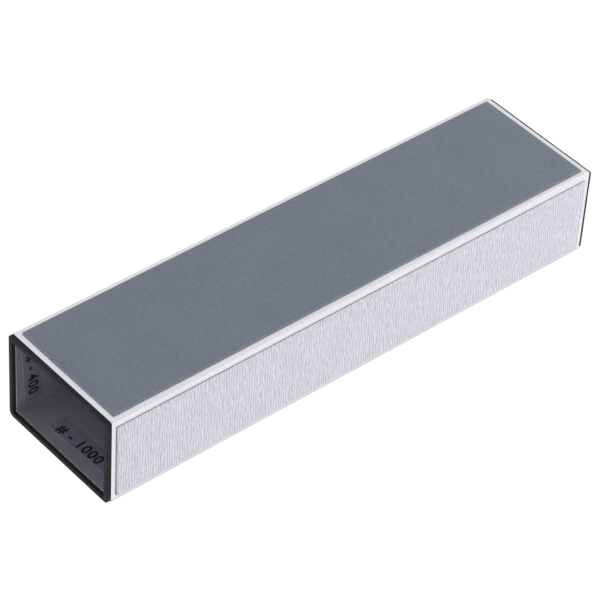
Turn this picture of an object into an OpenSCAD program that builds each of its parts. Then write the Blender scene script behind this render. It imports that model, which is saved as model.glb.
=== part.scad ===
// A four-sided sharpening block: a rectangular metal tube, open right through, with a strip of
// abrasive sheet taped to each of its four long faces, a soft ring on each end so that the metal
// doesn't mark the bench or the hand, and a label inside each wall that says which grit is outside.
//
// X runs across the block, Y along it and Z up. The near end, where the labels are, faces -Y.
// The origin is in the middle of the bottom abrasive, so the block stands on Z = 0.

/* [Tube] */
// Outside width of the tube, across X
tube_w = 60; // [45:1:90]
// Outside height of the tube, along Z
tube_h = 40; // [30:1:70]
// Length of the tube, along Y
tube_l = 238; // [120:1:360]
// Thickness of the tube's walls
wall = 2; // [1.2:0.1:3]
// Radius of the four long outside edges
edge_r = 0.5; // [0.2:0.1:1]
// Radius of the four long corners inside the bore
bore_r = 0.4; // [0.2:0.1:1]

/* [Abrasive sheets] */
// Thickness of an abrasive sheet, backing and grit together
sheet_t = 0.4; // [0.2:0.05:1.2]
// Radius of a sheet's four corners
sheet_corner_r = 0.6; // [0.2:0.1:3]
// Bare metal to the left of a wide sheet, seen from the near end with that face up
wide_margin_left = 2.2; // [0.5:0.1:4]
// Bare metal to the right of a wide sheet
wide_margin_right = 2.5; // [0.5:0.1:4]
// Bare metal at the near end of a wide sheet
wide_margin_near = 2.5; // [0.5:0.1:6]
// Bare metal at the far end of a wide sheet
wide_margin_far = 2.2; // [0.5:0.1:6]
// Bare metal to the left of a narrow sheet, seen from the near end with that face up
narrow_margin_left = 3.3; // [0.5:0.1:4]
// Bare metal to the right of a narrow sheet
narrow_margin_right = 2.2; // [0.5:0.1:4]
// Bare metal at the near end of a narrow sheet
narrow_margin_near = 2.1; // [0.5:0.1:6]
// Bare metal at the far end of a narrow sheet
narrow_margin_far = 1.9; // [0.5:0.1:6]

/* [Double-sided tape] */
// Thickness of the tape under a sheet or an end ring
tape_t = 0.15; // [0.15:0.05:0.4]
// How far the tape stops short of a sheet's cut edges
tape_inset = 0.3; // [0:0.1:0.6]

/* [End rings] */
// Thickness of an end ring
ring_t = 1.5; // [0.6:0.1:3]
// Radius of a ring's four outside corners
ring_corner_r = 2.4; // [1:0.1:4]
// Radius of the corners of a ring's opening
opening_corner_r = 0.6; // [0.2:0.1:2]
// How far the near ring stays inside the faces of the abrasive, so that it never touches the work
near_ring_shy = 0.05; // [0.05:0.05:0.35]
// How far the near ring is stuck on towards -X, and also how far below the tube's middle
near_ring_off = 0.25; // [0:0.05:0.25]
// How far the far ring is cut inside the tube's outline all round
far_ring_inset = 0.45; // [0:0.05:0.5]
// How far the near ring's opening sits towards -X of the bore
near_opening_left = 0.4; // [0:0.1:0.8]
// How far the near ring's opening sits below the bore
near_opening_drop = 0.5; // [0:0.1:0.8]
// How far the far ring is stuck on below the tube's middle
far_ring_drop = 0.55; // [0:0.05:0.6]

/* [Grit labels] */
// Width of the label strip
label_w = 8; // [6:0.5:12]
// Thickness of the label strip
label_t = 0.15; // [0.1:0.05:0.3]
// Gap to the left of a wide wall's label, seen from the near end with that face up
wide_label_left = 9.5; // [2:0.5:12]
// Gap to the right of a wide wall's label
wide_label_right = 13.5; // [2:0.5:14]
// Gap to the left of a narrow wall's label
narrow_label_left = 2; // [1:0.5:4]
// Gap to the right of a narrow wall's label
narrow_label_right = 6; // [1:0.5:8]
// Distance from the tube's near end to a wide wall's label
wide_label_setback = 5; // [2:0.5:20]
// Distance from the tube's near end to a narrow wall's label
narrow_label_setback = 3; // [2:0.5:20]
// Turn of a label on a wide wall, because it was put on by hand
wide_label_turn = -2; // [-5:0.1:5]
// Turn of a label on a narrow wall
narrow_label_turn = -2.6; // [-5:0.1:5]

/* [Hidden] */

// Segments round a full circle, for every rounded corner
$fn = 32;

bore_w = tube_w - 2 * wall;
bore_h = tube_h - 2 * wall;

// The bottom sheet and its tape lift the tube off Z = 0
axis_z = sheet_t + tape_t + tube_h / 2;

// Turn about Y that brings a face drawn on top round to its own side of the tube
TOP = 0;
RIGHT = 90;
BOTTOM = 180;
LEFT = 270;

// Margins in the order left, right, near, far
wide_margins = [wide_margin_left, wide_margin_right, wide_margin_near, wide_margin_far];
narrow_margins = [narrow_margin_left, narrow_margin_right, narrow_margin_near, narrow_margin_far];

near_ring_overhang = sheet_t + tape_t - near_ring_shy - near_ring_off;
near_ring_size = [tube_w + 2 * near_ring_overhang, tube_h + 2 * near_ring_overhang];
far_ring_size = [tube_w - 2 * far_ring_inset, tube_h - 2 * far_ring_inset];
near_ring_at = [-near_ring_off, -near_ring_off];
near_opening_at = [-near_opening_left, -near_opening_drop];
// The far ring drops as a whole, so its opening drops with it
far_ring_at = [0, -far_ring_drop];

metal = [0.86, 0.86, 0.87];
slate = [0.49, 0.52, 0.55];
pale_grit = [0.83, 0.83, 0.86];
dark_slate = [0.30, 0.32, 0.35];
white_grit = [0.78, 0.78, 0.80];
adhesive = [0.62, 0.62, 0.62];
black_foam = [0.16, 0.16, 0.17];
clear_strip = [0.40, 0.41, 0.43];

// A rectangle with round corners, centred, drawn with true arcs
module rounded_rectangle(size, r) {
  square([size[0] - 2 * r, size[1]], center = true);
  square([size[0], size[1] - 2 * r], center = true);
  for (x = [-1, 1], y = [-1, 1])
    translate([x * (size[0] / 2 - r), y * (size[1] / 2 - r)])
      circle(r);
}

// Puts what is drawn flat, X across and Y along, on one side of the tube at a height above its axis
module on_face(turn, height) {
  translate([0, 0, axis_z])
    rotate([0, turn, 0])
      translate([0, 0, height])
        children();
}

// A flat strip on a face: as large as the face less its margins, and less the inset all round
module strip(face_w, margins, inset, r, t) {
  w = face_w - margins[0] - margins[1] - 2 * inset;
  l = tube_l - margins[2] - margins[3] - 2 * inset;
  translate([(margins[0] - margins[1]) / 2, (margins[2] - margins[3]) / 2, 0])
    linear_extrude(t)
      rounded_rectangle([w, l], r);
}

// Draws a section across the tube and gives it a thickness along Y, from y towards +Y
module section(y, t) {
  translate([0, y + t, axis_z])
    rotate([90, 0, 0])
      linear_extrude(t)
        children();
}

module tube_body() {
  color(metal)
    section(-tube_l / 2, tube_l)
      difference() {
        rounded_rectangle([tube_w, tube_h], edge_r);
        rounded_rectangle([bore_w, bore_h], bore_r);
      }
}

module wide_sheet(turn) {
  on_face(turn, tube_h / 2 + tape_t)
    strip(tube_w, wide_margins, 0, sheet_corner_r, sheet_t);
}

module narrow_sheet(turn) {
  on_face(turn, tube_w / 2 + tape_t)
    strip(tube_h, narrow_margins, 0, sheet_corner_r, sheet_t);
}

module wide_tape(turn) {
  color(adhesive)
    on_face(turn, tube_h / 2)
      strip(tube_w, wide_margins, tape_inset, sheet_corner_r, tape_t);
}

module narrow_tape(turn) {
  color(adhesive)
    on_face(turn, tube_w / 2)
      strip(tube_h, narrow_margins, tape_inset, sheet_corner_r, tape_t);
}

module abrasive_sheet_top() { color(slate) wide_sheet(TOP); }
module abrasive_sheet_right() { color(pale_grit) narrow_sheet(RIGHT); }
module abrasive_sheet_bottom() { color(dark_slate) wide_sheet(BOTTOM); }
module abrasive_sheet_left() { color(white_grit) narrow_sheet(LEFT); }

module sheet_tape_top() { wide_tape(TOP); }
module sheet_tape_right() { narrow_tape(RIGHT); }
module sheet_tape_bottom() { wide_tape(BOTTOM); }
module sheet_tape_left() { narrow_tape(LEFT); }

// A flat ring: an outline with an opening, both drawn across the tube
module ring(size, at, opening_at) {
  difference() {
    translate(at)
      rounded_rectangle(size, ring_corner_r);
    translate(opening_at)
      rounded_rectangle([bore_w, bore_h], opening_corner_r);
  }
}

module near_ring_outline() { ring(near_ring_size, near_ring_at, near_opening_at); }
module far_ring_outline() { ring(far_ring_size, far_ring_at, far_ring_at); }

module end_ring_near() {
  color(black_foam)
    section(-tube_l / 2 - tape_t - ring_t, ring_t)
      near_ring_outline();
}

module end_ring_far() {
  color(black_foam)
    section(tube_l / 2 + tape_t, ring_t)
      far_ring_outline();
}

// A ring is cut together with the tape on its back, so the two have one outline
module ring_tape_near() {
  color(adhesive)
    section(-tube_l / 2 - tape_t, tape_t)
      near_ring_outline();
}

module ring_tape_far() {
  color(adhesive)
    section(tube_l / 2, tape_t)
      far_ring_outline();
}

// A label lies on the inside of a wall, as long as that wall of the bore less the gaps at its ends
module label(height, bore_across, gap_left, gap_right, setback, skew) {
  l = bore_across - gap_left - gap_right;
  translate([(gap_left - gap_right) / 2, -tube_l / 2 + setback + label_w / 2, height - label_t])
    rotate([0, 0, skew])
      translate([-l / 2, -label_w / 2, 0])
        cube([l, label_w, label_t]);
}

module wide_label(turn) {
  color(clear_strip)
    on_face(turn, 0)
      label(bore_h / 2, bore_w, wide_label_left, wide_label_right, wide_label_setback, wide_label_turn);
}

module narrow_label(turn) {
  color(clear_strip)
    on_face(turn, 0)
      label(bore_w / 2, bore_h, narrow_label_left, narrow_label_right, narrow_label_setback,
            narrow_label_turn);
}

module grit_label_top() { wide_label(TOP); }
module grit_label_right() { narrow_label(RIGHT); }
module grit_label_bottom() { wide_label(BOTTOM); }
module grit_label_left() { narrow_label(LEFT); }

tube_body();
abrasive_sheet_top();
abrasive_sheet_right();
abrasive_sheet_bottom();
abrasive_sheet_left();
sheet_tape_top();
sheet_tape_right();
sheet_tape_bottom();
sheet_tape_left();
end_ring_near();
end_ring_far();
ring_tape_near();
ring_tape_far();
grit_label_top();
grit_label_right();
grit_label_bottom();
grit_label_left();
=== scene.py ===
# %% [markdown]
# # A four-sided sharpening block
#
# The block is a rectangular aluminium tube with a strip of abrasive taped to each long face, a ring
# of soft black rubber on each cut end, and printed labels inside the near end that tell the user
# which grit is on the other side of the wall. The sizes come from a finished CAD model. This script
# keeps the CAD tube and tapes, remakes the soft and paper pieces as finer meshes in exactly the
# same places, and gives every surface its finish.

# %% Load the model
import math

import bmesh
import bpy
from mathutils import Matrix, Quaternion, Vector, noise


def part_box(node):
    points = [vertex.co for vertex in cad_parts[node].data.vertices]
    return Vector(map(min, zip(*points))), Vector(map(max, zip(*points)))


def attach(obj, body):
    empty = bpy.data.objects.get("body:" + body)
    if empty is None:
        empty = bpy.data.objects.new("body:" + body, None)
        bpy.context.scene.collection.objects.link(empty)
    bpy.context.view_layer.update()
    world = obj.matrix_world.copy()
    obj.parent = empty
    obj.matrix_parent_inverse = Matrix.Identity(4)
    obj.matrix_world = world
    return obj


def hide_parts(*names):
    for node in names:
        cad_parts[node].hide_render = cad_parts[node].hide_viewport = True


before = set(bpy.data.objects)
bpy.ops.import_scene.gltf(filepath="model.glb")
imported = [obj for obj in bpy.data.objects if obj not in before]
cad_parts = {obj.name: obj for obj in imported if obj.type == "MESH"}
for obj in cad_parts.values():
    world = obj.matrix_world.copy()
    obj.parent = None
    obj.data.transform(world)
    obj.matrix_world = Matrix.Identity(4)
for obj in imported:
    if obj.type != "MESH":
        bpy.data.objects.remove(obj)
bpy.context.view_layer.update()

scene = bpy.context.scene
MM = 0.001
WANDER_SEED = 4

# Without a seed of its own, noise_vector would start from the clock and differ from run to run.
noise.seed_set(WANDER_SEED)


def in_mm(length):
    """A length in millimetres, short enough to print."""
    return round(length / MM, 2)


# %% [markdown]
# ## Sizes read from the CAD model
#
# Nothing is placed by eye. The tube's box gives its outside, and the vertices that lie well inside
# that box belong to the bore. The same trick finds the opening of a ring. The sizes could be typed
# in again, but a size that is read stays right when the model changes.

# %% Measure the tube and its bore
tube_low, tube_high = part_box("tube_body")
axis_z = (tube_low.z + tube_high.z) / 2
half_w = (tube_high.x - tube_low.x) / 2
half_h = (tube_high.z - tube_low.z) / 2
near_y = tube_low.y
far_y = tube_high.y


def opening_box(node, margin=1.4 * MM):
    """Lowest and highest corner of the hole in a tube or ring, from its own vertices."""
    low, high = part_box(node)
    inner = [
        v.co
        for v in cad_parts[node].data.vertices
        if low.x + margin < v.co.x < high.x - margin and low.z + margin < v.co.z < high.z - margin
    ]
    corners = [[min(p[i] for p in inner), max(p[i] for p in inner)] for i in range(3)]
    return Vector([c[0] for c in corners]), Vector([c[1] for c in corners])


bore_low, bore_high = opening_box("tube_body")
wall = bore_low.x - tube_low.x
print("tube", in_mm(2 * half_w), "x", in_mm(2 * half_h), "mm, wall", in_mm(wall), "mm")
print("bore", in_mm(bore_high.x - bore_low.x), "x", in_mm(bore_high.z - bore_low.z), "mm")

# %% [markdown]
# The four faces are one face turned about the tube's axis. A piece is drawn lying on the top face,
# with X across it, Y along the block and Z outwards, and `to_side` then carries it round. Drawing
# each side in its own place would work too, but would take four times the sums.

# %% Turn each side to its place
SIDE_TURN = {"top": 0, "right": 90, "bottom": 180, "left": 270}


def to_side(side):
    """The matrix that carries a piece drawn on the top face to its own side of the tube."""
    turn = Matrix.Rotation(math.radians(SIDE_TURN[side]), 4, "Y")
    return Matrix.Translation((0, 0, axis_z)) @ turn


def flat_box(node, side):
    """A node's box, turned back so that it lies on the top face."""
    back = to_side(side).inverted()
    a, b = (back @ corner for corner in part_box(node))
    return Vector(map(min, a, b)), Vector(map(max, a, b))


for side in SIDE_TURN:
    strip_low, strip_high = flat_box("abrasive_sheet_" + side, side)
    strip_size = strip_high - strip_low
    print(side, "strip in mm:", [in_mm(length) for length in strip_size])

# %% [markdown]
# ## Camera
#
# A long lens a little over a metre away keeps the block's long edges almost parallel, as in a
# catalogue. A short lens close by would show as much of the block, but would spread its near end.
# The camera is tipped slightly about its own line of sight.

# %% Place the camera
CAMERA_TURN = 47.369
CAMERA_RISE = 41.452
CAMERA_ROLL = 3.858
CAMERA_DISTANCE = 1197.93 * MM
LENS = 186.015
SENSOR_WIDTH = 36
aim = Vector((0, -4.354 * MM, 17.211 * MM))

turn = math.radians(CAMERA_TURN)
rise = math.radians(CAMERA_RISE)
back = Vector((math.sin(turn) * math.cos(rise), -math.cos(turn) * math.cos(rise), math.sin(rise)))
camera_data = bpy.data.cameras.new("camera")
camera_data.lens = LENS
camera_data.sensor_width = SENSOR_WIDTH
camera = bpy.data.objects.new("camera", camera_data)
camera.location = aim + back * CAMERA_DISTANCE
camera.rotation_mode = "QUATERNION"
level = (-back).to_track_quat("-Z", "Y")
camera.rotation_quaternion = level @ Quaternion((0, 0, 1), math.radians(CAMERA_ROLL))
scene.collection.objects.link(camera)
scene.camera = camera
print("camera at", [round(c, 3) for c in camera.location])

# %% [markdown]
# ## Light table
#
# Pale, bright-edged products are often shown on a light table: a sheet of white acrylic lit from
# below. It wipes out the shadow, and it lights the upright faces a little more than the top. Lamps
# under a translucent sheet would do this too, but one plane that glows by itself gives the same
# light with less grain. It lies a hair below the block, so that the two never share a plane.

# %% Lay the light table
TABLE_REACH = 3
TABLE_DROP = 0.05 * MM

table_mesh = bpy.data.meshes.new("light_table")
bm = bmesh.new()
bmesh.ops.create_grid(bm, x_segments=1, y_segments=1, size=TABLE_REACH)
bmesh.ops.translate(bm, verts=bm.verts, vec=(0, 0, -TABLE_DROP))
bm.to_mesh(table_mesh)
bm.free()
table = bpy.data.objects.new("light_table", table_mesh)
scene.collection.objects.link(table)
print("table", 2 * TABLE_REACH, "m square,", in_mm(TABLE_DROP), "mm below the block")

# %% [markdown]
# ## Sky and lamp
#
# The sky is even and white, like a tent of white cloth over the table. The plain view transform
# leaves white as white, where the default one would grey it. One soft box stands beyond the far
# end, so that the top fades slightly towards the near end. It is large and stands low, and the
# dulled long edges mirror little of it into the camera. A sun lamp would light every face evenly
# along its length and lose that fade.

# %% Hang the sky and stand the soft box
SKY_STRENGTH = 0.88
LAMP_POWER = 1.25
LAMP_WIDTH = 0.6
LAMP_HEIGHT = 0.4
LAMP_SIDEWAYS = 0.22
LAMP_BEYOND = 0.42
LAMP_RISE = 0.35

scene.view_settings.view_transform = "Standard"
sky = bpy.data.worlds.new("sky")
sky.use_nodes = True
sky.node_tree.nodes["Background"].inputs["Color"].default_value = (1, 1, 1, 1)
sky.node_tree.nodes["Background"].inputs["Strength"].default_value = SKY_STRENGTH
scene.world = sky

lamp_data = bpy.data.lights.new("soft_box", "AREA")
lamp_data.shape = "RECTANGLE"
lamp_data.size = LAMP_WIDTH
lamp_data.size_y = LAMP_HEIGHT
lamp_data.energy = LAMP_POWER
lamp = bpy.data.objects.new("soft_box", lamp_data)
lamp.location = (LAMP_SIDEWAYS, far_y + LAMP_BEYOND, LAMP_RISE)
lamp.rotation_mode = "QUATERNION"
lamp.rotation_quaternion = (Vector((0, far_y, 0)) - lamp.location).to_track_quat("-Z", "Y")
scene.collection.objects.link(lamp)
print("soft box", round((lamp.location - Vector((0, far_y, 0))).length, 2), "m from the far end")

# %% [markdown]
# ## Helpers for finishes
#
# Colours are written as the sRGB hex values that a paint program shows, and Blender's shaders want
# linear light, so one function turns one into the other. A second one adds a node, sets it up and
# wires its inputs, which keeps each finish short enough to read.

# %% Helpers for colours and nodes


def linear(hex_colour):
    """An sRGB hex colour such as "d8d8da" as linear RGBA."""
    parts = [int(hex_colour[i:i + 2], 16) / 255 for i in (0, 2, 4)]
    return (*[p / 12.92 if p <= 0.04045 else ((p + 0.055) / 1.055) ** 2.4 for p in parts], 1)


def add(finish, kind, inputs=None, stops=(), **settings):
    """Adds a node. Each input takes a value or another node's output, a colour ramp its stops."""
    tree = finish.node_tree
    made = tree.nodes.new("ShaderNode" + kind)
    for name, value in settings.items():
        setattr(made, name, value)
    for socket, value in (inputs or {}).items():
        if isinstance(value, bpy.types.Node):
            value = next(out for out in value.outputs if out.enabled)
        if isinstance(value, bpy.types.NodeSocket):
            tree.links.new(value, made.inputs[socket])
        else:
            made.inputs[socket].default_value = value
    for i, (place, colour) in enumerate(stops):
        stop = made.color_ramp.elements[i] if i < 2 else made.color_ramp.elements.new(place)
        stop.position = place
        stop.color = linear(colour)
    return made


print("sRGB 808080 is", round(linear("808080")[0], 3), "in linear light")

# %% [markdown]
# Every finish starts from an empty material. A Mix node numbers its inputs for every kind of value
# that it can mix, so its two colours are inputs 6 and 7.

# %% Helpers for materials
FIRST_COLOUR = 6
SECOND_COLOUR = 7


def new_finish(name):
    """An empty material."""
    finish = bpy.data.materials.new(name)
    finish.use_nodes = True
    finish.node_tree.nodes.clear()
    return finish


def show(finish):
    """Prints how many nodes a finish took."""
    print(finish.name, "takes", len(finish.node_tree.nodes), "nodes")


print("a Mix node's colours are inputs", FIRST_COLOUR, "and", SECOND_COLOUR)

# %% [markdown]
# ## Finish: opal acrylic
#
# The table itself is opal acrylic. Its own glow is far stronger than what it scatters, so the block
# throws no shadow on it.

# %% Opal acrylic for the table
TABLE_GLOW = 1.0

opal = new_finish("opal_acrylic")
shader = add(
    opal, "BsdfPrincipled",
    {
        "Base Color": linear("303030"), "Roughness": 0.9,
        "Emission Color": (1, 1, 1, 1), "Emission Strength": TABLE_GLOW,
    },
)
add(opal, "OutputMaterial", {"Surface": shader})
table_mesh.materials.append(opal)
show(opal)

# %% [markdown]
# ## Finish: satin aluminium
#
# The tube is extruded: pushed hot through a die, then dulled in a caustic bath. It has four kinds
# of surface: the pale outside, its four long edges, the sawn ends and the dull bore. The edges
# carry painted shade, the ends painted glints, and the bore painted shade for the dark inside of
# the tube. They could be four materials on four groups of faces, but the CAD mesh must stay as it
# is. A point's own coordinates say where it is, so one material does all four, with masks that are
# 1 where they apply and 0 elsewhere.

# %% Satin aluminium: where a point lies
END_SKIN = 0.05 * MM

satin = new_finish("satin_aluminium")
place = add(satin, "TexCoord").outputs["Object"]
apart = add(satin, "SeparateXYZ", {"Vector": place})
from_axis = add(satin, "Math", {0: apart.outputs["Z"], 1: axis_z}, operation="SUBTRACT")
out_x = add(satin, "Math", {0: apart.outputs["X"]}, operation="ABSOLUTE")
out_z = add(satin, "Math", {0: from_axis}, operation="ABSOLUTE")
out_y = add(satin, "Math", {0: apart.outputs["Y"]}, operation="ABSOLUTE")

bore_reach_x = half_w - wall / 2
bore_reach_z = half_h - wall / 2
within_x = add(satin, "Math", {0: out_x, 1: bore_reach_x}, operation="LESS_THAN")
within_z = add(satin, "Math", {0: out_z, 1: bore_reach_z}, operation="LESS_THAN")
not_end = add(satin, "Math", {0: out_y, 1: far_y - END_SKIN}, operation="LESS_THAN")
within = add(satin, "Math", {0: within_x, 1: within_z}, operation="MULTIPLY")
in_bore = add(satin, "Math", {0: within, 1: not_end}, operation="MULTIPLY")
on_end = add(satin, "Math", {0: 1.0, 1: not_end}, operation="SUBTRACT")
print("bore skin: within", in_mm(bore_reach_x), "and", in_mm(bore_reach_z), "mm of the axis")

# %% [markdown]
# The outside is a pale satin skin with very faint lines along its length, where the die dragged,
# and a fine mottle from the bath. One noise drawn out along the tube makes the lines, and a round
# one the mottle. An image would do as well, but it needs unwrapping and blurs close up.

# %% Satin aluminium: die lines and mottle
DIE_LINE = 0.6 * MM
DIE_LINE_LENGTH = 40 * MM
BATH_MOTTLE = 1.1 * MM

drawn_out = add(
    satin, "Mapping",
    {"Vector": place, "Scale": (1 / DIE_LINE, 1 / DIE_LINE_LENGTH, 1 / DIE_LINE)},
)
lines = add(satin, "TexNoise", {"Vector": drawn_out, "Scale": 1.0, "Detail": 3.0})
mottle = add(
    satin, "TexNoise",
    {"Vector": place, "Scale": 1 / BATH_MOTTLE, "Detail": 4.0, "Roughness": 0.6},
)
marks = add(satin, "Mix", {"Factor": 0.5, "A": lines, "B": mottle}, data_type="FLOAT")
outside = add(satin, "ValToRGB", {"Fac": marks}, stops=[(0.32, "e1e1e4"), (0.68, "eeeef1")])
print("die lines", in_mm(DIE_LINE), "mm apart, mottle", in_mm(BATH_MOTTLE), "mm wide")

# %% [markdown]
# The four long edges are painted a slightly darker grey, painted shade that tones down their
# highlight, and handling dulls their gloss a little. An edge is where a point is far out both
# ways, so two ramps are multiplied. The foot of each upright side is darker towards the bottom.

# %% Satin aluminium: painted edge shade and darker feet
EDGE_BAND = 0.55 * MM
FOOT_START = 0.3 * MM
FOOT_DARK_TOP = 1.35 * MM
FOOT_DARKENING = 0.6

edge_start_x = half_w - EDGE_BAND
edge_start_z = half_h - EDGE_BAND
edge_x = add(satin, "MapRange", {"Value": out_x, "From Min": edge_start_x, "From Max": half_w})
edge_z = add(satin, "MapRange", {"Value": out_z, "From Min": edge_start_z, "From Max": half_h})
shaded_and_dulled = add(satin, "Math", {0: edge_x, 1: edge_z}, operation="MULTIPLY")
shaded_and_dulled = add(satin, "Math", {0: shaded_and_dulled, 1: 2.0}, operation="MULTIPLY", use_clamp=True)
# Painted shade: a slightly darker grey on the long edges tones down their highlight.
outside = add(
    satin, "Mix",
    {"Factor": shaded_and_dulled, FIRST_COLOUR: outside, SECOND_COLOUR: linear("dcdcde")},
    data_type="RGBA",
)

# The foot of each upright side is darker towards the bottom.
side_on = add(satin, "Math", {0: out_x, 1: edge_start_x}, operation="GREATER_THAN")
dark_foot = add(
    satin, "MapRange",
    {
        "Value": apart.outputs["Z"], "From Min": tube_low.z + FOOT_START,
        "From Max": tube_low.z + FOOT_DARK_TOP, "To Min": FOOT_DARKENING, "To Max": 0.0,
    },
)
dark_foot = add(satin, "Math", {0: dark_foot, 1: side_on}, operation="MULTIPLY")
outside = add(
    satin, "Mix",
    {"Factor": dark_foot, FIRST_COLOUR: outside, SECOND_COLOUR: linear("8c8c90")},
    data_type="RGBA",
)
print("edges rubbed over", in_mm(EDGE_BAND), "mm, feet dull up to", in_mm(FOOT_DARK_TOP), "mm")

# %% [markdown]
# The ends are as the saw left them, with a level tooth mark every 0.75 mm or so. A sine of the
# height draws them: its dark stripes are the tooth marks, and its near-white stripes painted
# glints off them. Cutting real grooves would show no better, as they are a few hundredths deep.

# %% Satin aluminium: sawn ends and their painted glints
SAW_TOOTH = 0.75 * MM
TOOTH_SHIFT = 0.06 * MM

first_tooth = bore_low.z - TOOTH_SHIFT
above = add(satin, "Math", {0: apart.outputs["Z"], 1: first_tooth}, operation="SUBTRACT")
teeth = add(satin, "Math", {0: above, 1: 2 * math.pi / SAW_TOOTH}, operation="MULTIPLY")
teeth = add(satin, "Math", {0: teeth}, operation="SINE")
# Painted glints: the near-white stop stands in for light caught by the tooth marks.
sawn_marks_and_glints = add(satin, "ValToRGB", {"Fac": teeth}, stops=[(0.0, "7c7c7e"), (0.6, "fafafa")])
outside = add(
    satin, "Mix",
    {"Factor": on_end, FIRST_COLOUR: outside, SECOND_COLOUR: sawn_marks_and_glints},
    data_type="RGBA",
)
print("tooth marks on the ends:", round(2 * half_h / SAW_TOOTH))

# %% [markdown]
# The bore is given a dull blue-grey with soft clouds, painted shade for the dark inside of the
# tube. It is a little darker over the last 45 mm towards each end and paler further in: painted
# shade near the mouths and painted light deep inside.

# %% Satin aluminium: the bore
BORE_CLOUD = 16 * MM
END_SHADE_REACH = 45 * MM

cloud = add(satin, "TexNoise", {"Vector": place, "Scale": 1 / BORE_CLOUD, "Detail": 3.0})
depth = add(
    satin, "MapRange",
    {
        "Value": out_y, "From Min": far_y - END_SHADE_REACH, "From Max": far_y,
        "To Min": 1.0, "To Max": 0.0,
    },
)
# Painted shade: both greys stand in for the shade inside the tube; the deeper one is paler.
dull = add(satin, "ValToRGB", {"Fac": cloud}, stops=[(0.3, "8e8e9a"), (0.7, "9999a5")])
dull_deep = add(satin, "ValToRGB", {"Fac": cloud}, stops=[(0.3, "a8a8b1"), (0.7, "b1b1ba")])
inside = add(
    satin, "Mix",
    {"Factor": depth, FIRST_COLOUR: dull, SECOND_COLOUR: dull_deep},
    data_type="RGBA",
)
# The darker end band, painted shade, reaches this far into the bore.
print("dust reaches", in_mm(END_SHADE_REACH), "mm into a bore of", in_mm(far_y - near_y), "mm")

# %% [markdown]
# Last, the masks pick the colour and the gloss. Bare metal mirrors, but the bore, whose grey is
# painted shade, and the torn ends scatter light as a dull solid does, so they are only partly
# metallic. The marks also vary the roughness and raise a very low relief, which breaks up the
# reflections.

# %% Satin aluminium: put together
EDGE_ROUGHENING = 0.25
BORE_ROUGHENING = 0.12

skin = add(
    satin, "Mix",
    {"Factor": in_bore, FIRST_COLOUR: outside, SECOND_COLOUR: inside},
    data_type="RGBA",
)
metal = add(satin, "MapRange", {"Value": in_bore, "To Min": 1.0, "To Max": 0.5})
metal = add(satin, "MapRange", {"Value": on_end, "To Min": metal, "To Max": 0.15})
satin_rough = add(
    satin, "MapRange",
    {"Value": marks, "From Min": 0.3, "From Max": 0.7, "To Min": 0.32, "To Max": 0.44},
)
bore_rough = add(
    satin, "MapRange", {"Value": in_bore, "To Min": 0.0, "To Max": BORE_ROUGHENING}
)
edge_rough = add(satin, "Math", {0: shaded_and_dulled, 1: EDGE_ROUGHENING}, operation="MULTIPLY")
dullness = add(satin, "Math", {0: satin_rough, 1: bore_rough}, operation="ADD")
dullness = add(satin, "Math", {0: dullness, 1: edge_rough}, operation="ADD")
relief = add(satin, "Bump", {"Height": marks, "Strength": 0.25, "Distance": 0.04 * MM})
shader = add(
    satin, "BsdfPrincipled",
    {"Base Color": skin, "Metallic": metal, "Roughness": dullness, "Normal": relief},
)
add(satin, "OutputMaterial", {"Surface": shader})
show(satin)

# %% [markdown]
# ## Finish: silicon carbide waterproof paper
#
# The wide faces carry fine waterproof paper: blue-grey silicon carbide grains bonded to latex paper
# with resin. It looks like dry slate, quite matt. The strip is paler along its rim, most of all at
# its corners, where the knife has bruised the resin. A point's distance from the rim comes from its
# own place: half the strip's size less its distance from the middle. A noise makes that rim ragged.
# It could be painted on by hand, but this way it fits a strip of any size.

# %% Bruised rim of a wide strip
BRUISED_RIM = 0.8 * MM
RIM_RAGGEDNESS = 1.5 * MM
WORN_CORNER = 7 * MM
CORNER_WEAR = 3.0
BRUISE = 0.3


def rim_bruise(finish, place, node):
    """How bruised a strip is: BRUISE at its rim, and nothing further in."""
    low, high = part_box(node)
    middle = (low + high) / 2
    centred = add(finish, "VectorMath", {0: place, 1: middle}, operation="SUBTRACT")
    outwards = add(finish, "VectorMath", {0: centred}, operation="ABSOLUTE")
    gaps = add(finish, "VectorMath", {0: (high - low) / 2, 1: outwards}, operation="SUBTRACT")
    gap = add(finish, "SeparateXYZ", {"Vector": gaps})
    across, along = gap.outputs["X"], gap.outputs["Y"]
    nearest = add(finish, "Math", {0: across, 1: along}, operation="MINIMUM")
    ragged = add(finish, "TexNoise", {"Vector": place, "Scale": 1 / RIM_RAGGEDNESS, "Detail": 3.0})
    reach = add(finish, "Math", {0: ragged, 1: 2 * BRUISED_RIM}, operation="MULTIPLY")
    from_corner = add(finish, "Math", {0: across, 1: along}, operation="MAXIMUM")
    corner = add(
        finish, "MapRange",
        {
            "Value": from_corner, "From Min": 0.0, "From Max": WORN_CORNER,
            "To Min": CORNER_WEAR, "To Max": 1.0,
        },
    )
    reach = add(finish, "Math", {0: reach, 1: corner}, operation="MULTIPLY")
    return add(
        finish, "MapRange",
        {
            "Value": nearest, "From Min": 0.0, "From Max": reach,
            "To Min": BRUISE, "To Max": 0.0,
        },
    )


print("bruised", in_mm(BRUISED_RIM), "mm in,", in_mm(CORNER_WEAR * BRUISED_RIM), "mm at a corner")

# %% [markdown]
# The grains themselves are about 0.015 mm, far too fine to see, so the grain pattern here is drawn
# at 0.35 mm, just coarse enough to break the surface. Two slower noises shade the paper between two
# close greys. Here and there lies a speck of bright dust, and the cut edge is as pale as the rim.
# Real grains as geometry would take millions of faces for the same look.

# %% Slate-coloured abrasive
DRAWN_GRAIN = 0.35 * MM
GRIT_CLUMP = 1.8 * MM
GRIT_CLOUD = 22 * MM
DUST_SPECK = 0.8 * MM


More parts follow.
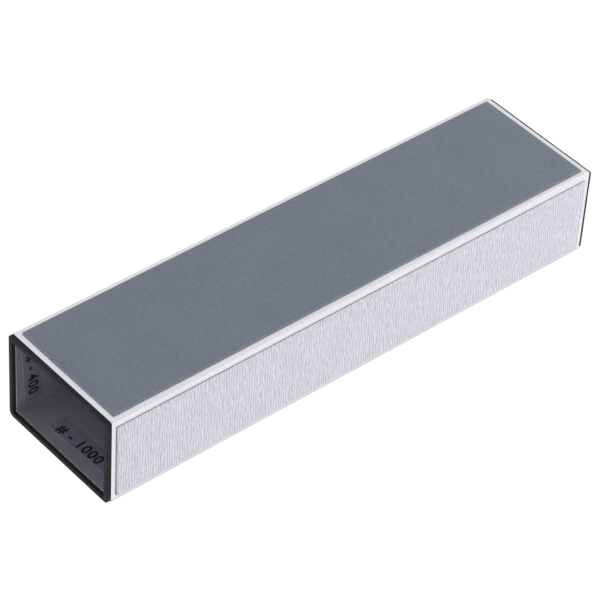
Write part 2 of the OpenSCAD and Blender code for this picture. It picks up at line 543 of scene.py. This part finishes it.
def slate_paper(name, node, dark, pale, rim):
    """Waterproof abrasive paper for a wide face, between two close shades, bruised at its rim."""
    finish = new_finish(name)
    place = add(finish, "TexCoord").outputs["Object"]
    grains = add(
        finish, "TexNoise",
        {"Vector": place, "Scale": 1 / DRAWN_GRAIN, "Detail": 3.0, "Roughness": 0.65},
    )
    clumps = add(
        finish, "TexNoise",
        {"Vector": place, "Scale": 1 / GRIT_CLUMP, "Detail": 3.0, "Roughness": 0.75},
    )
    clouds = add(finish, "TexNoise", {"Vector": place, "Scale": 1 / GRIT_CLOUD, "Detail": 3.0})
    shade = add(finish, "Mix", {"Factor": 0.3, "A": clumps, "B": clouds}, data_type="FLOAT")
    body = add(finish, "ValToRGB", {"Fac": shade}, stops=[(0.3, dark), (0.7, pale)])
    coloured = add(
        finish, "Mix",
        {
            "Factor": rim_bruise(finish, place, node),
            FIRST_COLOUR: body, SECOND_COLOUR: linear(rim),
        },
        data_type="RGBA",
    )
    dust_specks_and_glints = add(finish, "TexNoise", {"Vector": place, "Scale": 1 / DUST_SPECK, "Detail": 0.0})
    bright = add(
        finish, "MapRange", {"Value": dust_specks_and_glints, "From Min": 0.85, "From Max": 0.92, "To Max": 0.4}
    )
    coloured = add(
        finish, "Mix",
        {"Factor": bright, FIRST_COLOUR: coloured, SECOND_COLOUR: linear("c4c8cc")},
        data_type="RGBA",
    )
    normal = add(finish, "TexCoord").outputs["Normal"]
    upright = add(finish, "SeparateXYZ", {"Vector": normal})
    facing = add(finish, "Math", {0: upright.outputs["Z"]}, operation="ABSOLUTE")
    cut = add(finish, "Math", {0: facing, 1: 0.5}, operation="LESS_THAN")
    coloured = add(
        finish, "Mix",
        {"Factor": cut, FIRST_COLOUR: coloured, SECOND_COLOUR: linear(rim)},
        data_type="RGBA",
    )
    rough = add(finish, "MapRange", {"Value": grains, "To Min": 0.72, "To Max": 0.92})
    relief = add(finish, "Bump", {"Height": grains, "Strength": 0.35, "Distance": 0.05 * MM})
    shader = add(
        finish, "BsdfPrincipled", {"Base Color": coloured, "Roughness": rough, "Normal": relief}
    )
    add(finish, "OutputMaterial", {"Surface": shader})
    show(finish)
    return finish


slate_top = slate_paper(
    "silicon_carbide_paper", "abrasive_sheet_top", "646c75", "727a86", "8d949b"
)
slate_bottom = slate_paper(
    "fine_silicon_carbide_paper", "abrasive_sheet_bottom", "42464c", "50555c", "64686e"
)

# %% [markdown]
# ## Finish: stearated paper
#
# The narrow faces carry dry-sanding paper. Its grit is flooded with zinc stearate, a white soap that
# stops it clogging. The soap goes on wet and is wiped across the strip, so it dries in long, wavy,
# forking streaks a millimetre or so apart that run across the strip. A stretched noise alone gives
# streaks that never fork, and a Wave texture alone is too even, so the two are mixed. The paper is
# darker along its near and lower rims.

# %% Streaked pale abrasive
# A Wave texture at scale 1 repeats every 2 pi / 20 units.
WAVE_PERIOD = math.pi / 10
STREAK_STRETCH = 0.5
THREADS_PER_STREAK = 1.8
THREAD_DEPTH = 8 * MM
THREAD_LENGTH = 3.5 * MM
DARK_RIM = 0.45 * MM


def stearated_paper(name, node, hollow, middle, crest, streak):
    """Stearate-coated paper for a narrow face. The streaks run up it, one streak apart along Y."""
    finish = new_finish(name)
    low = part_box(node)[0]
    place = add(finish, "TexCoord").outputs["Object"]
    drawn_up = add(finish, "Mapping", {"Vector": place, "Scale": (1.0, 1.0, STREAK_STRETCH)})
    bands = add(
        finish, "TexWave",
        {
            "Vector": drawn_up, "Scale": WAVE_PERIOD / streak, "Distortion": 7.0,
            "Detail": 2.0, "Detail Scale": 1.3, "Detail Roughness": 0.6,
        },
        bands_direction="Y",
    )
    thread_scale = (1 / THREAD_DEPTH, THREADS_PER_STREAK / streak, 1 / THREAD_LENGTH)
    stretched = add(finish, "Mapping", {"Vector": place, "Scale": thread_scale})
    threads = add(finish, "TexNoise", {"Vector": stretched, "Scale": 1.0, "Detail": 2.0})
    grains = add(finish, "TexNoise", {"Vector": place, "Scale": 1 / DRAWN_GRAIN, "Detail": 2.0})
    combed = add(finish, "Mix", {"Factor": 0.6, "A": bands, "B": threads}, data_type="FLOAT")
    shade = add(finish, "Mix", {"Factor": 0.15, "A": combed, "B": grains}, data_type="FLOAT")
    body = add(
        finish, "ValToRGB", {"Fac": shade}, stops=[(0.25, hollow), (0.75, crest), (0.5, middle)]
    )
    # A thin band along the near and lower rims is darker.
    inwards = add(finish, "VectorMath", {0: place, 1: low}, operation="SUBTRACT")
    gap = add(finish, "SeparateXYZ", {"Vector": inwards})
    nearest = add(finish, "Math", {0: gap.outputs["Y"], 1: gap.outputs["Z"]}, operation="MINIMUM")
    dust_glints_and_dark_rim = add(
        finish, "MapRange",
        {"Value": nearest, "From Min": 0.0, "From Max": DARK_RIM, "To Min": 0.6, "To Max": 0.0},
    )
    body = add(
        finish, "Mix",
        {"Factor": dust_glints_and_dark_rim, FIRST_COLOUR: body, SECOND_COLOUR: linear("84848c")},
        data_type="RGBA",
    )
    relief = add(finish, "Bump", {"Height": shade, "Strength": 0.4, "Distance": 0.1 * MM})
    shader = add(
        finish, "BsdfPrincipled", {"Base Color": body, "Roughness": 0.8, "Normal": relief}
    )
    add(finish, "OutputMaterial", {"Surface": shader})
    show(finish)
    return finish


pale_right = stearated_paper(
    "stearated_paper", "abrasive_sheet_right", "b6b6c0", "cccdd5", "e3e3ea", 1.25 * MM
)
white_left = stearated_paper(
    "fine_stearated_paper", "abrasive_sheet_left", "c4c4ca", "d4d4d9", "e6e6ea", 1.0 * MM
)

# %% [markdown]
# ## Finish: soft black rubber
#
# The end rings are cut by hand from a sheet of soft cellular rubber. It is a dust-greyed black,
# quite matt, with fine open pores, a bloom of grey dust and a few pale flecks that are painted
# glints. The pores are a noise in the bump, as modelled pits would be far smaller than anything
# else on the block.

# %% Soft black rubber
PORE = 0.5 * MM
DUST_PATCH = 7 * MM
GLINT_SPECK = 0.9 * MM

rubber = new_finish("soft_black_rubber")
place = add(rubber, "TexCoord").outputs["Object"]
pores = add(
    rubber, "TexNoise", {"Vector": place, "Scale": 1 / PORE, "Detail": 3.0, "Roughness": 0.6}
)
dust = add(rubber, "TexNoise", {"Vector": place, "Scale": 1 / DUST_PATCH, "Detail": 3.0})
shade = add(rubber, "Mix", {"Factor": 0.5, "A": pores, "B": dust}, data_type="FLOAT")
dust_glints_and_dark_rim = add(rubber, "ValToRGB", {"Fac": shade}, stops=[(0.3, "101114"), (0.7, "212226")])
# Painted glints: a few pale flecks stand in for small highlights on the rubber.
dust_specks_and_glints = add(rubber, "TexNoise", {"Vector": place, "Scale": 1 / GLINT_SPECK, "Detail": 0.0})
painted_glint = add(
    rubber, "MapRange", {"Value": dust_specks_and_glints, "From Min": 0.85, "From Max": 0.9, "To Max": 0.5}
)
dust_glints_and_dark_rim = add(
    rubber, "Mix",
    {"Factor": painted_glint, FIRST_COLOUR: dust_glints_and_dark_rim, SECOND_COLOUR: linear("9a9a9c")},
    data_type="RGBA",
)
relief = add(rubber, "Bump", {"Height": pores, "Strength": 0.4, "Distance": 0.08 * MM})
shader = add(
    rubber, "BsdfPrincipled",
    {"Base Color": dust_glints_and_dark_rim, "Roughness": 0.75, "Specular IOR Level": 0.25, "Normal": relief},
)
add(rubber, "OutputMaterial", {"Surface": shader})
show(rubber)

# %% [markdown]
# ## Finish: double-sided tape
#
# Only the cut edge of the tape shows, as a thin line round each strip and ring where its glue has
# picked up dust. One colour would do at this size, but a little noise keeps the line from looking
# drawn. The two tapes differ only in their greys, so one function makes both.

# %% Tape edges
GLUE_DUST = 1.2 * MM


def tape_finish(name, dark, pale):
    """The dusty cut edge of a double-sided tape."""
    finish = new_finish(name)
    place = add(finish, "TexCoord").outputs["Object"]
    dust = add(finish, "TexNoise", {"Vector": place, "Scale": 1 / GLUE_DUST, "Detail": 3.0})
    glue = add(finish, "ValToRGB", {"Fac": dust}, stops=[(0.35, dark), (0.65, pale)])
    relief = add(finish, "Bump", {"Height": dust, "Strength": 0.3, "Distance": 0.05 * MM})
    shader = add(
        finish, "BsdfPrincipled", {"Base Color": glue, "Roughness": 0.6, "Normal": relief}
    )
    add(finish, "OutputMaterial", {"Surface": shader})
    show(finish)
    return finish


sheet_tape = tape_finish("sheet_tape_edge", "a0a0a2", "bcbcbe")
ring_tape = tape_finish("ring_tape_edge", "1e1e20", "303033")

# %% [markdown]
# ## Finish: label film
#
# The labels are clear laminated strip from a label printer. Real clear film would need the light to
# pass through it, which is slow and grainy inside a dark tube. The film shows only the wall's dull
# grey through itself, so it is given that grey, painted shade like the wall's, a smoother gloss
# than the wall's, and faint ripples.

# %% Label film
FILM_RIPPLE = 4 * MM

film = new_finish("clear_label_film")
place = add(film, "TexCoord").outputs["Object"]
ripple = add(film, "TexNoise", {"Vector": place, "Scale": 1 / FILM_RIPPLE, "Detail": 2.0})
# Painted shade: this grey copies the bore's painted grey.
grey = add(film, "ValToRGB", {"Fac": ripple}, stops=[(0.35, "848490"), (0.65, "8c8c98")])
relief = add(film, "Bump", {"Height": ripple, "Strength": 0.2, "Distance": 0.1 * MM})
shader = add(
    film, "BsdfPrincipled",
    {
        "Base Color": grey, "Metallic": 0.4, "Roughness": 0.46,
        "Specular IOR Level": 0.3, "Normal": relief,
    },
)
add(film, "OutputMaterial", {"Surface": shader})
show(film)

# %% [markdown]
# ## Finish: label ink
#
# The print is black wax from the printer's ribbon: a dense black with a soft gloss. It varies by
# only a hair, as wax does where the film under it isn't flat.

# %% Label ink
INK_SPECK = 0.4 * MM

ink = new_finish("label_ink")
place = add(ink, "TexCoord").outputs["Object"]
speck = add(ink, "TexNoise", {"Vector": place, "Scale": 1 / INK_SPECK, "Detail": 2.0})
black = add(ink, "ValToRGB", {"Fac": speck}, stops=[(0.35, "0e0e10"), (0.65, "161618")])
shader = add(ink, "BsdfPrincipled", {"Base Color": black, "Roughness": 0.35})
add(ink, "OutputMaterial", {"Surface": shader})
show(ink)

# %% [markdown]
# ## Making an object from a bmesh
#
# Every new piece ends the same way: its mesh becomes an object at the origin, gets its finish, rides
# on the block's one body and hides the CAD node that it stands for. Faces are shaded smooth, except
# across edges that turn by more than 40 degrees.

# %% Finish a piece
SHARP_ANGLE = 40


def settle(bm, name, finish, node=None, smooth=True):
    """Turns a bmesh into a piece of the block."""
    mesh = bpy.data.meshes.new(name)
    bm.to_mesh(mesh)
    bm.free()
    mesh.polygons.foreach_set("use_smooth", [smooth] * len(mesh.polygons))
    if smooth:
        mesh.set_sharp_from_angle(angle=math.radians(SHARP_ANGLE))
    mesh.materials.append(finish)
    piece = bpy.data.objects.new(name, mesh)
    scene.collection.objects.link(piece)
    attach(piece, "root")
    if node:
        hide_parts(node)
    print(name, len(mesh.polygons), "faces")
    return piece


print("edges stay sharp where they turn by more than", SHARP_ANGLE, "degrees")

# %% [markdown]
# ## Rounding edges and corners
#
# The bevel operator rounds an edge of a solid or, told to work on vertices, a corner of a flat
# outline. Its defaults differ from the editor's, so all its settings are given here, once.

# %% Helpers for edges and corners
CORNER_SEGMENTS = 5
FLUSH = 0.01 * MM


def sharp_edges(bm, angle=60):
    """The edges where two faces meet more sharply than an angle in degrees."""
    limit = math.radians(angle)
    return [e for e in bm.edges if len(e.link_faces) == 2 and e.calc_face_angle() > limit]


def round_edges(bm, edges, radius, segments=2):
    """Rounds edges of a solid."""
    bmesh.ops.bevel(
        bm, geom=edges, offset=radius, offset_type="OFFSET", affect="EDGES",
        segments=segments, profile=0.5, material=-1, clamp_overlap=True,
    )


def corner_places(low_u, low_v, high_u, high_v):
    """The corners of a rectangle, in order round it."""
    return [(low_u, low_v), (high_u, low_v), (high_u, high_v), (low_u, high_v)]


def round_corner(bm, corner, radius):
    """Rounds one corner of a flat outline."""
    bmesh.ops.bevel(
        bm, geom=[corner], offset=radius, offset_type="OFFSET", affect="VERTICES",
        segments=CORNER_SEGMENTS, profile=0.5, material=-1,
    )


print("a rounded corner turns", 90 / CORNER_SEGMENTS, "degrees at each cut")

# %% [markdown]
# ## Abrasive strips
#
# Each strip is cut from a sheet with a knife and pressed on to the tape. A box with a Bevel modifier
# would have four equal corners, and no two hand-cut corners match. So a strip starts as one
# rectangle whose corners are rounded one by one. Bisecting planes then cut it into cells, so that
# its edges can wander by a few hundredths of a millimetre, and it is extruded to its thickness.
# Last, its upper rim is rounded as grit crumbles away from a cut.

# %% Cut the abrasive strips
CELL = 6 * MM
RIM_RADIUS = 0.12 * MM
EDGE_WANDER = 0.07 * MM
FACE_WANDER = 0.03 * MM
EDGE_WAVE = 14 * MM
FACE_WAVE = 30 * MM
GLUED_SKIN = 0.05 * MM


def cut_into_cells(bm, low, high):
    """Cuts a flat piece across and along with planes about one CELL apart."""
    for axis in (0, 1):
        span = high[axis] - low[axis]
        count = round(span / CELL)
        direction = Vector((1, 0, 0)) if axis == 0 else Vector((0, 1, 0))
        for i in range(1, count):
            bmesh.ops.bisect_plane(
                bm, geom=bm.verts[:] + bm.edges[:] + bm.faces[:], dist=1e-7,
                plane_co=direction * (low[axis] + span * i / count), plane_no=direction,
            )


def raise_faces(bm, vector):
    """Extrudes all the faces of a flat piece, which gives it a thickness."""
    raised = bmesh.ops.extrude_face_region(bm, geom=bm.faces[:])
    upper = [g for g in raised["geom"] if isinstance(g, bmesh.types.BMVert)]
    bmesh.ops.translate(bm, verts=upper, vec=vector)


def abrasive_strip(side, corner_radii, finish):
    """A strip on one side. The radii run near left, near right, far right, far left."""
    node = "abrasive_sheet_" + side
    low, high = flat_box(node, side)
    middle = (low + high) / 2
    bm = bmesh.new()
    bmesh.ops.create_grid(bm, x_segments=1, y_segments=1, size=0.5)
    bmesh.ops.scale(bm, verts=bm.verts, vec=(high.x - low.x, high.y - low.y, 1))
    bmesh.ops.translate(bm, verts=bm.verts, vec=(middle.x, middle.y, low.z))
    for (x, y), radius in zip(corner_places(low.x, low.y, high.x, high.y), corner_radii):
        nearest = min(bm.verts, key=lambda v: (v.co.x - x) ** 2 + (v.co.y - y) ** 2)
        round_corner(bm, nearest, radius)
    cut_into_cells(bm, low, high)
    raise_faces(bm, (0, 0, high.z - low.z))
    bmesh.ops.recalc_face_normals(bm, faces=bm.faces)
    rim = [e for e in sharp_edges(bm) if all(abs(v.co.z - high.z) < FLUSH for v in e.verts)]
    round_edges(bm, rim, RIM_RADIUS)
    for v in bm.verts:
        spot = Vector((v.co.x, v.co.y, SIDE_TURN[side]))
        drift = noise.noise_vector(spot / EDGE_WAVE)
        v.co.x += drift.x * EDGE_WANDER
        v.co.y += drift.y * EDGE_WANDER
        if v.co.z > low.z + GLUED_SKIN:
            v.co.z -= abs(noise.noise(spot / FACE_WAVE)) * FACE_WANDER
    bmesh.ops.transform(bm, matrix=to_side(side), verts=bm.verts)
    return settle(bm, "strip_" + side, finish, node)


abrasive_strip("top", [0.4 * MM, 0.6 * MM, 0.2 * MM, 0.9 * MM], slate_top)
abrasive_strip("right", [0.4 * MM, 0.5 * MM, 0.5 * MM, 0.3 * MM], pale_right)
abrasive_strip("bottom", [0.6 * MM, 0.5 * MM, 1.1 * MM, 0.4 * MM], slate_bottom)
abrasive_strip("left", [0.8 * MM, 0.4 * MM, 0.6 * MM, 1.0 * MM], white_left)

# %% [markdown]
# ## Outline of an end ring
#
# A ring is cut from rubber sheet with a knife, round a template. It has two outlines, one for its
# outside and one for its opening, each a rectangle with its corners rounded and its sides cut into
# short lengths. A Boolean of two boxes would give the same ring, but its long thin faces couldn't
# bend later.

# %% Draw one outline
CUTS_LEVEL = 17
CUTS_PLUMB = 11
SHORTEST_SIDE = 5 * MM


def outline(bm, low, high, radii, y):
    """The edges of a rounded rectangle that stands across the tube at one Y.

    The radii run bottom left, bottom right, top right, top left, seen from the near end."""
    earlier = set(bm.edges)
    corners = bmesh.ops.create_grid(bm, x_segments=1, y_segments=1, size=0.5)["verts"]
    middle = Vector(((low.x + high.x) / 2, y, (low.z + high.z) / 2))
    upright = Matrix.Rotation(math.radians(90), 4, "X")
    size = Matrix.Diagonal((high.x - low.x, high.z - low.z, 1, 1))
    bmesh.ops.transform(bm, matrix=Matrix.Translation(middle) @ upright @ size, verts=corners)
    for (x, z), radius in zip(corner_places(low.x, low.z, high.x, high.z), radii):
        loose = [v for v in bm.verts if v.link_faces]
        nearest = min(loose, key=lambda v: (v.co.x - x) ** 2 + (v.co.z - z) ** 2)
        round_corner(bm, nearest, radius)
    bmesh.ops.delete(bm, geom=bm.faces[:], context="FACES_ONLY")
    sides = [e for e in bm.edges if e not in earlier and e.calc_length() > SHORTEST_SIDE]
    level = [e for e in sides if abs(e.verts[0].co.z - e.verts[1].co.z) < FLUSH]
    plumb = [e for e in sides if e not in level]
    bmesh.ops.subdivide_edges(bm, edges=level, cuts=CUTS_LEVEL)
    bmesh.ops.subdivide_edges(bm, edges=plumb, cuts=CUTS_PLUMB)
    return [e for e in bm.edges if e not in earlier]


print("an outline's sides are cut into", CUTS_LEVEL + 1, "and", CUTS_PLUMB + 1, "lengths")

# %% [markdown]
# ## End rings
#
# Bridging the two outlines gives the ring's face, and extruding that gives its thickness. The rims
# are rounded, because rubber won't hold a sharp edge, and then a slow noise pulls the outlines a
# little inwards, as a knife wanders in something soft. Nothing moves outwards, so the ring stays
# within its CAD outline and the block still rests on its abrasive.

# %% Make the end rings
OPENING_RADIUS = 0.6 * MM
RING_RIM = {"near": 0.18 * MM, "far": 0.1 * MM}
KNIFE_WANDER = 0.14 * MM
SLOW_WAVE = 9 * MM
QUICK_WAVE = 3.5 * MM


def end_ring(end, radii):
    """A rubber ring on one end of the tube, where its CAD node is."""
    node = "end_ring_" + end
    low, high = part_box(node)
    hole_low, hole_high = opening_box(node)
    glued_y, free_y = (high.y, low.y) if end == "near" else (low.y, high.y)
    bm = bmesh.new()
    edges = outline(bm, low, high, radii, glued_y)
    edges += outline(bm, hole_low, hole_high, [OPENING_RADIUS] * 4, glued_y)
    bmesh.ops.bridge_loops(bm, edges=edges)
    raise_faces(bm, (0, free_y - glued_y, 0))
    bmesh.ops.recalc_face_normals(bm, faces=bm.faces)
    rims = [e for e in sharp_edges(bm) if all(abs(v.co.y - free_y) < FLUSH for v in e.verts)]
    round_edges(bm, rims, RING_RIM[end], segments=3)
    for v in bm.verts:
        drift = noise.noise_vector(v.co / SLOW_WAVE) + 0.5 * noise.noise_vector(v.co / QUICK_WAVE)
        v.co.x -= math.copysign(drift.x * KNIFE_WANDER, v.co.x)
        v.co.z -= math.copysign(drift.z * KNIFE_WANDER, v.co.z - axis_z)
    settle(bm, "ring_" + end, rubber, node)


end_ring("near", [2.4 * MM, 2.1 * MM, 1.7 * MM, 1.4 * MM])
end_ring("far", [1.2 * MM, 1.0 * MM, 0.7 * MM, 0.9 * MM])

# %% [markdown]
# ## Label films
#
# A label is a strip of film with print on it. The film is a copy of the CAD strip, because that one
# already lies slightly askew in the right place. Its loose triangles are merged and its rim is
# softened. All labels read the same way round, with the tops of the letters towards the far end, so
# each strip also gives a matrix that lays letters on it that way. The function is used in the next
# cell, where each film is printed as soon as it is made.

# %% Make a film
FILM_RIM = 0.05 * MM
MERGE_DISTANCE = 0.001 * MM


def label_film(side):
    """The film strip. Gives the matrix that lays letters on it, and its length."""
    node = "grit_label_" + side
    bm = bmesh.new()
    bm.from_mesh(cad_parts[node].data)
    bmesh.ops.remove_doubles(bm, verts=bm.verts, dist=MERGE_DISTANCE)
    bmesh.ops.dissolve_limit(bm, angle_limit=math.radians(1), verts=bm.verts, edges=bm.edges)
    longest = max(bm.edges, key=lambda e: e.calc_length())
    along = (longest.verts[1].co - longest.verts[0].co).normalized()
    inwards = to_side(side).to_3x3() @ Vector((0, 0, -1))
    reading = to_side(side).to_3x3() @ Vector((-1, 0, 0))
    if along.dot(reading) < 0:
        along = -along
    tops = inwards.cross(along)
    middle = sum((v.co for v in bm.verts), Vector()) / len(bm.verts)
    reach = max((v.co - middle).dot(inwards) for v in bm.verts)
    lay = Matrix((along, tops, inwards)).transposed().to_4x4()
    lay.translation = middle + inwards * reach
    length = longest.calc_length()
    rim = [e for e in sharp_edges(bm) if all((v.co - middle).dot(inwards) > 0 for v in e.verts)]
    round_edges(bm, rim, FILM_RIM, segments=1)
    settle(bm, "label_" + side, film, node, smooth=False)
    return lay, length


for side in SIDE_TURN:
    film_low = flat_box("grit_label_" + side, side)[0]
    print(side, "film starts", in_mm(film_low.y - near_y), "mm inside the near end")

# %% [markdown]
# ## Print on the labels
#
# The print could be an image laid on the film. Here it is real letters: a text object turned into a
# mesh, fitted to a share of its strip, made a few hundredths of a millimetre thick, and laid on the
# film. The printer doesn't centre every label, so each print has a shift of its own, in millimetres
# along and up its strip.

# %% Make and print the labels
GRITS = {"top": "# - 2000", "right": "# - 240", "bottom": "# - 1000", "left": "# - 400"}
PRINT_SHIFT = {"top": (0.4, 0.3), "right": (0.2, -0.2), "bottom": (-1.2, -1.1), "left": (0.8, 0.0)}
PRINT_SHARE = 0.74
LETTER_HEIGHT = 5.4 * MM
LETTER_BOLDNESS = 0.024
LETTER_SPACING = 1.14
LETTER_MERGE = 1e-4
INK_THICKNESS = 0.03 * MM


def letters(words):
    """A flat mesh of some words, about one unit high."""
    curve = bpy.data.curves.new("letters", "FONT")
    curve.body = words
    curve.align_x = "CENTER"
    curve.align_y = "CENTER"
    curve.size = 1
    curve.offset = LETTER_BOLDNESS
    curve.space_character = LETTER_SPACING
    curve.resolution_u = 4
    written = bpy.data.objects.new("letters", curve)
    scene.collection.objects.link(written)
    bpy.context.view_layer.update()
    mesh = bpy.data.meshes.new_from_object(written)
    bpy.data.objects.remove(written)
    return mesh


def label_print(side, lay, length):
    """The letters on one label."""
    bm = bmesh.new()
    bm.from_mesh(letters(GRITS[side]))
    bmesh.ops.remove_doubles(bm, verts=bm.verts, dist=LETTER_MERGE)
    width = max(v.co.x for v in bm.verts) - min(v.co.x for v in bm.verts)
    height = max(v.co.y for v in bm.verts) - min(v.co.y for v in bm.verts)
    fit = Matrix.Diagonal((PRINT_SHARE * length / width, LETTER_HEIGHT / height, 1, 1))
    along, up = PRINT_SHIFT[side]
    shift = Matrix.Translation((along * MM, up * MM, 0))
    raise_faces(bm, (0, 0, INK_THICKNESS))
    bmesh.ops.transform(bm, matrix=lay @ shift @ fit, verts=bm.verts)
    bmesh.ops.recalc_face_normals(bm, faces=bm.faces)
    settle(bm, "print_" + side, ink, smooth=False)


for side in SIDE_TURN:
    label_print(side, *label_film(side))

# %% [markdown]
# ## Finishes for the CAD pieces that stay
#
# The tube and the tapes keep their CAD meshes, because their shapes are already right. Only the
# material in their slots changes.

# %% Give the CAD pieces their finishes
CAD_FINISHES = {"tube_body": satin, "ring_tape_near": ring_tape, "ring_tape_far": ring_tape}
for side in SIDE_TURN:
    CAD_FINISHES["sheet_tape_" + side] = sheet_tape
for node, finish in CAD_FINISHES.items():
    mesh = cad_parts[node].data
    mesh.materials.clear()
    mesh.materials.append(finish)
print("finished", len(CAD_FINISHES), "CAD pieces")
